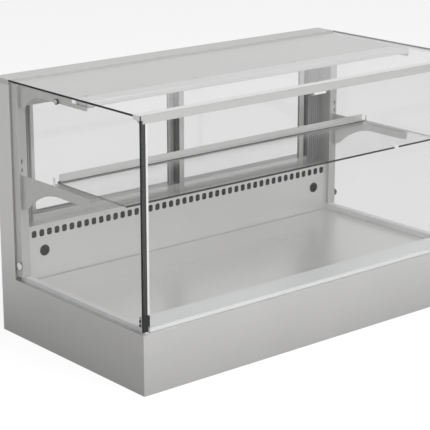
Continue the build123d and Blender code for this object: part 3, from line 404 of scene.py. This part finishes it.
pad_rubber, tree, shader = finish("grey_pad", (0.40, 0.40, 0.40), 0.6)
tint(tree, shader, grain(tree, 700.0), (0.34, 0.34, 0.34), (0.46, 0.46, 0.46), (0.5, 0.7))
give(black_plastic, "bracket_knobs")
give(pad_rubber, "shelf_pads")
give(bright_steel, "shelf_pins")
knobs_low, knobs_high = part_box("bracket_knobs")
knob_middle = (knobs_low + knobs_high) / 2
knob_cap_radius = (knobs_high.z - knobs_low.z) / 2 * knob_cap_share
for side, side_name in ((-1, "left"), (1, "right")):
    shaper = bmesh.new()
    rings = []
    for share, rise in ((1.0, 0.0), (1.0, 0.6), (0.85, 1.0)):
        across = side * (knobs_high.x + knob_cap_rise * rise)
        ring = round_ring(shaper, knob_cap_radius * share, 0.0)
        for point in ring:
            point.co = (across, knob_middle.y + point.co.x, knob_middle.z + point.co.y)
        rings.append(ring)
    join_rings(shaper, rings)
    knob_cap = piece_of(f"knob_cap_{side_name}", shaper, white_plastic)
    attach(knob_cap, "case")


# Glass shelf: a 6 mm pane whose front and rear edges are ground, and painted near black as painted shade for
# the light that stays inside. A rail of aluminium is clipped on its rear edge, and one small white piece on
# its front edge paints a bright break in the dark edge line as a painted highlight.
face_from = 0.95
edge_from = 0.3
glass_mirror_least = 0.025
glass_mirror_gain = 0.6
glass_mirror_steepness = 5.0
glint_across = 0.458
glint_width = 0.018
glint_wall = 0.0010
glint_grip = 0.007


def clear_pane(name, through, shaded_edge_side, pale=0.84):
    """Float glass, clear through its faces; edges along the shaded side are painted near black as painted
    shade, the others pale.
    """
    material, tree, edge = finish(name, (0.010, 0.014, 0.013), 0.4)
    edge.inputs["Specular IOR Level"].default_value = 0.12
    tree.links.new(between(tree, grain(tree, 1500.0), 0.3, 0.5), edge.inputs["Roughness"])
    clear = tree.nodes.new("ShaderNodeBsdfTransparent")
    faint = two_tone(tree, grain(tree, 3.0), (0.922, 0.923, 0.922), (0.932, 0.933, 0.932))
    tree.links.new(faint, clear.inputs["Color"])
    mirror = tree.nodes.new("ShaderNodeBsdfGlossy")
    mirror.inputs["Color"].default_value = (1.0, 1.0, 1.0, 1.0)
    mirror.inputs["Roughness"].default_value = 0.0
    slant = tree.nodes.new("ShaderNodeLayerWeight")
    slant.inputs["Blend"].default_value = 0.5
    steep = maths(tree, "POWER", slant.outputs["Facing"], glass_mirror_steepness)
    share = maths(tree, "MULTIPLY_ADD", steep, glass_mirror_gain, glass_mirror_least)
    face = mixed(tree, share, clear.outputs["BSDF"], mirror.outputs["BSDF"])
    pale_edge = tree.nodes.new("ShaderNodeBsdfTransparent")
    pale_edge.inputs["Color"].default_value = (pale, pale, pale, 1.0)
    # Edges facing along the shaded side get a near-black shader: painted shade for the light caught inside
    # the glass.
    painted_dark_edge = faces_along(tree, shaded_edge_side, edge_from)
    edges = mixed(tree, painted_dark_edge, pale_edge.outputs["BSDF"], edge.outputs["BSDF"])
    whole = mixed(tree, faces_along(tree, through, face_from), edges, face)
    tree.links.new(whole, tree.nodes["Material Output"].inputs["Surface"])
    return material


def drawn_bar(shaper, outline, first, last):
    """Straight bar of one outline; first and last turn an outline point into a place on either end."""
    rings = [[shaper.verts.new(end(*point)) for point in outline] for end in (first, last)]
    join_rings(shaper, rings)


shelf_glass = clear_pane("clear_glass_shelf", through="Z", shaded_edge_side="Y", pale=0.6)
satin_aluminium, tree, shader = finish("satin_aluminium", (0.55, 0.55, 0.545), 0.3, 0.55)
die_lines = grain(tree, 1.0, vector=place_on(tree, (4, 900, 900)))
tint(tree, shader, die_lines, (0.50, 0.50, 0.495), (0.60, 0.60, 0.595), (0.24, 0.38))
relief(tree, shader, die_lines, 0.000003)
give(shelf_glass, "shelf_glass")
give(satin_aluminium, "shelf_rail")
shelf_low, shelf_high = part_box("shelf_glass")
# A small white piece round the shelf's front edge: a painted highlight where the dark edge line breaks.
clip_end = shelf_low.y + glint_grip
glint_outline = ((shelf_low.y - glint_wall, shelf_low.z - glint_wall), (clip_end, shelf_low.z - glint_wall),
                (clip_end, shelf_low.z), (shelf_low.y, shelf_low.z),
                (shelf_low.y, shelf_high.z), (clip_end, shelf_high.z),
                (clip_end, shelf_high.z + glint_wall), (shelf_low.y - glint_wall, shelf_high.z + glint_wall))
shaper = bmesh.new()
drawn_bar(shaper, glint_outline, lambda y, z: (glint_across - glint_width / 2, y, z),
          lambda y, z: (glint_across + glint_width / 2, y, z))
shelf_glint_piece = piece_of("shelf_glint_piece", shaper, white_plastic)
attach(shelf_glint_piece, "shelf")


# Canopy: a flat stainless strip under the top pane, screwed to both top brackets and to the light profile.
# The profile is an extruded aluminium rail with an opal cover over the lamps.
canopy_screw_places = (-0.625, -0.208, 0.208, 0.625)
canopy_screw_back = 0.009
canopy_screw_radius = 0.0045
canopy_screw_rise = 0.0012

opal, tree, shader = finish("opal_cover", (0.90, 0.90, 0.88), 0.35)
tint(tree, shader, grain(tree, 80.0), (0.86, 0.86, 0.84), (0.92, 0.92, 0.90), (0.3, 0.42))
# The canopy takes the darker copy of the steel, painted darker as painted shade.
give(steel_painted_darker, "canopy")
give(satin_aluminium, "light_profile")
give(opal, "light_diffuser")
canopy_low, canopy_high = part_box("canopy")
for number, across in enumerate(canopy_screw_places):
    place = (across, canopy_low.y + canopy_screw_back, canopy_high.z)
    screw = button_screw(f"canopy_screw_{number + 1}", place, (0, 0, 1), canopy_screw_radius,
                         canopy_screw_rise, black_plastic)
    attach(screw, "case")


# Side panes: 6 mm glass from the strip of the base up to the top pane, held by one flush stud each.
# The stud is a turned stainless disc in a drilled hole, screwed to the upright behind.
side_pane_glass = clear_pane("clear_glass_side", through="X", shaded_edge_side="X")
give(side_pane_glass, "side_glass")
give(bright_steel, "glass_fixings")


# Top pane: laid over the side panes' upper edges and behind the front rail, with its long edge in silicone.
# It is the same float glass as the rest, and its two end edges are painted as dark lines, as painted shade.
top_pane_glass = clear_pane("clear_glass_top", through="Z", shaded_edge_side="X")
give(top_pane_glass, "top_glass")


# Front rail and catch: an extruded aluminium rail across the case behind the front pane's upper edge.
# The small white catch under its middle snaps the pane shut.
give(satin_aluminium, "front_rail")
give(white_plastic, "rail_catch")


# Front pane: glass that tilts forward for cleaning, on black blocks glued to its lower corners. Black
# seals on the side panes' front edges close the corners, each with a black lip and a pale inner one.
seal_strip_width = 0.010
black_lip_width = 0.0100
pale_lip_width = 0.0080
lip_sheet = 0.0010
lip_clearance = 0.0002

front_pane_glass = clear_pane("clear_glass_front", through="Y", shaded_edge_side="X")
pale_lip_skin, tree, shader = finish("pale_lip", (0.80, 0.80, 0.79), 0.35)
tint(tree, shader, grain(tree, 200.0), (0.76, 0.76, 0.75), (0.86, 0.86, 0.85))
give(front_pane_glass, "front_glass")
give(rubber, "corner_seals")
give(black_plastic, "hinge_blocks")
seals_low, seals_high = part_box("corner_seals")
seal_inner = seals_high.x - seal_strip_width
lip_front = seals_low.y + lip_clearance
lip_back = lip_front + lip_sheet
lip_kinds = (("black_lip", seal_inner, black_lip_width, rubber, "black_rubber"),
             ("pale_lip", seal_inner - black_lip_width, pale_lip_width, pale_lip_skin, "white_plastic"))
for side, side_name in ((-1, "left"), (1, "right")):
    for kind, start, width, lip_skin, slot in lip_kinds:
        lip_end = start - width
        outline = ((start, lip_front), (start, lip_back), (lip_end + lip_sheet, lip_back),
                   (lip_end, lip_front + lip_sheet / 2), (lip_end + lip_sheet / 2, lip_front))
        shaper = bmesh.new()
        drawn_bar(shaper, outline, lambda x, y: (side * x, y, seals_low.z),
                  lambda x, y: (side * x, y, seals_high.z))
        lip = piece_of(f"{kind}_{side_name}", shaper, lip_skin)
        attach(lip, "case")


# Hinge brackets: cut stainless plates on the ledge, with an eye for the block's pin and a boss behind.
# Two black screws go through the plate from the outer side, one above the other behind the boss.
hinge_screw_back = 0.0405
hinge_screw_heights = (0.2045, 0.2175)
hinge_screw_radius = 0.0042
hinge_screw_rise = 0.0022

give(brushed_steel, "hinge_brackets")
hinge_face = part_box("hinge_brackets")[1].x
front_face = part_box("front_glass")[0].y
for side, side_name in ((-1, "left"), (1, "right")):
    for height in hinge_screw_heights:
        place = (side * hinge_face, front_face + hinge_screw_back, height)
        screw = button_screw(f"hinge_screw_{side_name}_{round(height * 1000)}", place, (side, 0, 0),
                             hinge_screw_radius, hinge_screw_rise, black_plastic)
        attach(screw, "case")


# Sliding doors: 5 mm panes in grooved aluminium stiles, with black brushes on both upright edges.
# Plastic shoes below and guides above run in the lanes of two extruded tracks.
door_glass = clear_pane("clear_glass_door", through="Y", shaded_edge_side="Y")
brush_pile, tree, shader = finish("brush_pile", (0.02, 0.02, 0.02), 0.8)
bristles = grain(tree, 1.0, vector=place_on(tree, (900, 900, 40)))
tint(tree, shader, bristles, (0.012, 0.012, 0.012), (0.045, 0.045, 0.045))
relief(tree, shader, bristles, 0.0002)
give(door_glass, "door_left_glass", "door_right_glass")
give(satin_aluminium, "door_left_frame", "door_right_frame", "bottom_track", "top_track")
give(brush_pile, "door_left_seals", "door_right_seals")


# Door jambs: ribbed extrusions in dark grey paint between the columns and the doors.
# The ribs stiffen them and hide the screws that hold them to the columns.
grey_paint, tree, shader = finish("grey_paint", (0.20, 0.20, 0.205), 0.45)
orange_peel = grain(tree, 500.0)
tint(tree, shader, orange_peel, (0.24, 0.24, 0.243), (0.31, 0.31, 0.313), (0.38, 0.52))
relief(tree, shader, orange_peel, 0.00008)
give(grey_paint, "door_jambs")


# Studio floor: a white paper sweep under and behind the case. It shows white to the eye, keeps a faint
# shadow under the base, and glows for steel and glass with a painted reflection: painted shade near the
# case, a painted sheen that grows with the distance from the case and a little more in front.
sweep_reach = 40.0
sweep_drop = 0.0005
sweep_eye_glow = 0.84
painted_shade_at_case = 0.20
painted_sheen_gain_away = 0.70
painted_sheen_gain_in_front = 0.10
painted_sheen_fade = 1.0
front_strip = 0.30

paper, tree, shader = finish("sweep_paper", (0.15, 0.15, 0.15), 0.9)
shader.inputs["Specular IOR Level"].default_value = 0.0
spot = parts_of(tree, "Object")
beside = maths(tree, "SUBTRACT", maths(tree, "ABSOLUTE", spot["X"]), case_box[1].x)
beside = maths(tree, "MAXIMUM", beside, 0.0)
before = maths(tree, "SUBTRACT", maths(tree, "ABSOLUTE", spot["Y"]), case_box[1].y)
before = maths(tree, "MAXIMUM", before, 0.0)
away = maths(tree, "ADD", maths(tree, "MULTIPLY", beside, beside), maths(tree, "MULTIPLY", before, before))
away = maths(tree, "DIVIDE", maths(tree, "SQRT", away), painted_sheen_fade, clamp=True)
in_front = maths(tree, "SUBTRACT", case_box[0].y, spot["Y"])
in_front = maths(tree, "DIVIDE", in_front, front_strip, clamp=True)
# Painted reflection for mirror rays only: painted shade close to the case, brighter away from it and in
# front.
painted_sheen = maths(tree, "MULTIPLY_ADD", away, painted_sheen_gain_away, painted_shade_at_case)
painted_sheen = maths(tree, "MULTIPLY_ADD", in_front, painted_sheen_gain_in_front, painted_sheen)
path = tree.nodes.new("ShaderNodeLightPath").outputs
seen = maths(tree, "MAXIMUM", path["Is Camera Ray"], path["Is Transmission Ray"])
eye_part = maths(tree, "MULTIPLY", seen, sweep_eye_glow)
glow = tree.nodes.new("ShaderNodeEmission")
glow.inputs["Color"].default_value = (1.0, 1.0, 1.0, 1.0)
tree.links.new(maths(tree, "MULTIPLY_ADD", path["Is Glossy Ray"], painted_sheen, eye_part), glow.inputs["Strength"])
lit_paper = tree.nodes.new("ShaderNodeAddShader")
tree.links.new(shader.outputs["BSDF"], lit_paper.inputs[0])
tree.links.new(glow.outputs["Emission"], lit_paper.inputs[1])
tree.links.new(lit_paper.outputs["Shader"], tree.nodes["Material Output"].inputs["Surface"])
shaper = bmesh.new()
corners = ((-1, -1), (1, -1), (1, 1), (-1, 1))
shaper.faces.new([shaper.verts.new((x * sweep_reach, y * sweep_reach, -sweep_drop)) for x, y in corners])
sweep = piece_of("studio_sweep", shaper, paper)


# Studio light: a dim white room and three soft boxes, one overhead, one at the front and a weak one at the
# left. The room shows white to the eye, in mirrors and through glass, and lights the case with a third.
room_light = 0.35

room = bpy.data.worlds.new("studio_room")
bpy.context.scene.world = room
room.use_nodes = True
tree = room.node_tree
walls = tree.nodes["Background"]
walls.inputs["Color"].default_value = (1.0, 1.0, 1.0, 1.0)
path = tree.nodes.new("ShaderNodeLightPath").outputs
seen = maths(tree, "MAXIMUM", path["Is Camera Ray"], path["Is Transmission Ray"])
seen = maths(tree, "MAXIMUM", seen, path["Is Glossy Ray"])
tree.links.new(between(tree, seen, room_light, 1.0), walls.inputs["Strength"])


def soft_box(name, place, aim, size, power):
    """Square soft box that faces the point it is aimed at."""
    lamp = bpy.data.lights.new(name, "AREA")
    lamp.shape = "SQUARE"
    lamp.size = size
    lamp.energy = power
    holder = bpy.data.objects.new(name, lamp)
    holder.location = place
    holder.rotation_euler = (Vector(aim) - Vector(place)).to_track_quat("-Z", "Y").to_euler()
    bpy.context.scene.collection.objects.link(holder)


case_middle = (0, 0, 0.4)
soft_box("overhead_box", place=(0.3, 0.2, 4.5), aim=case_middle, size=4.0, power=50.0)
soft_box("front_box", place=(-0.2, -4.8, 3.2), aim=case_middle, size=4.0, power=390.0)
soft_box("left_box", place=(-4.6, 0.4, 2.2), aim=case_middle, size=2.4, power=60.0)


# Camera: the photographer stands at the front left, a little above the case, with a long lens. Place and
# turn come from matching the case's corners with the photograph, so its far right end is out of the frame.
eye_place = (-3.326, -3.825, 1.816)
eye_tilt = math.radians(73.73)
eye_turn = math.radians(-40.06)
lens_length = 134.96
sensor_width = 36.0
far_limit = 200.0

eye = bpy.data.cameras.new("shop_view")
eye.sensor_width = sensor_width
eye.lens = lens_length
eye.clip_end = far_limit
eye_holder = bpy.data.objects.new("shop_view", eye)
eye_holder.location = eye_place
eye_holder.rotation_euler = (eye_tilt, 0.0, eye_turn)
bpy.context.scene.collection.objects.link(eye_holder)
bpy.context.scene.camera = eye_holder

scene = bpy.context.scene
scene.view_settings.view_transform = "Standard"
scene.cycles.max_bounces = 16
scene.cycles.glossy_bounces = 8
scene.cycles.transmission_bounces = 16
scene.cycles.transparent_max_bounces = 48
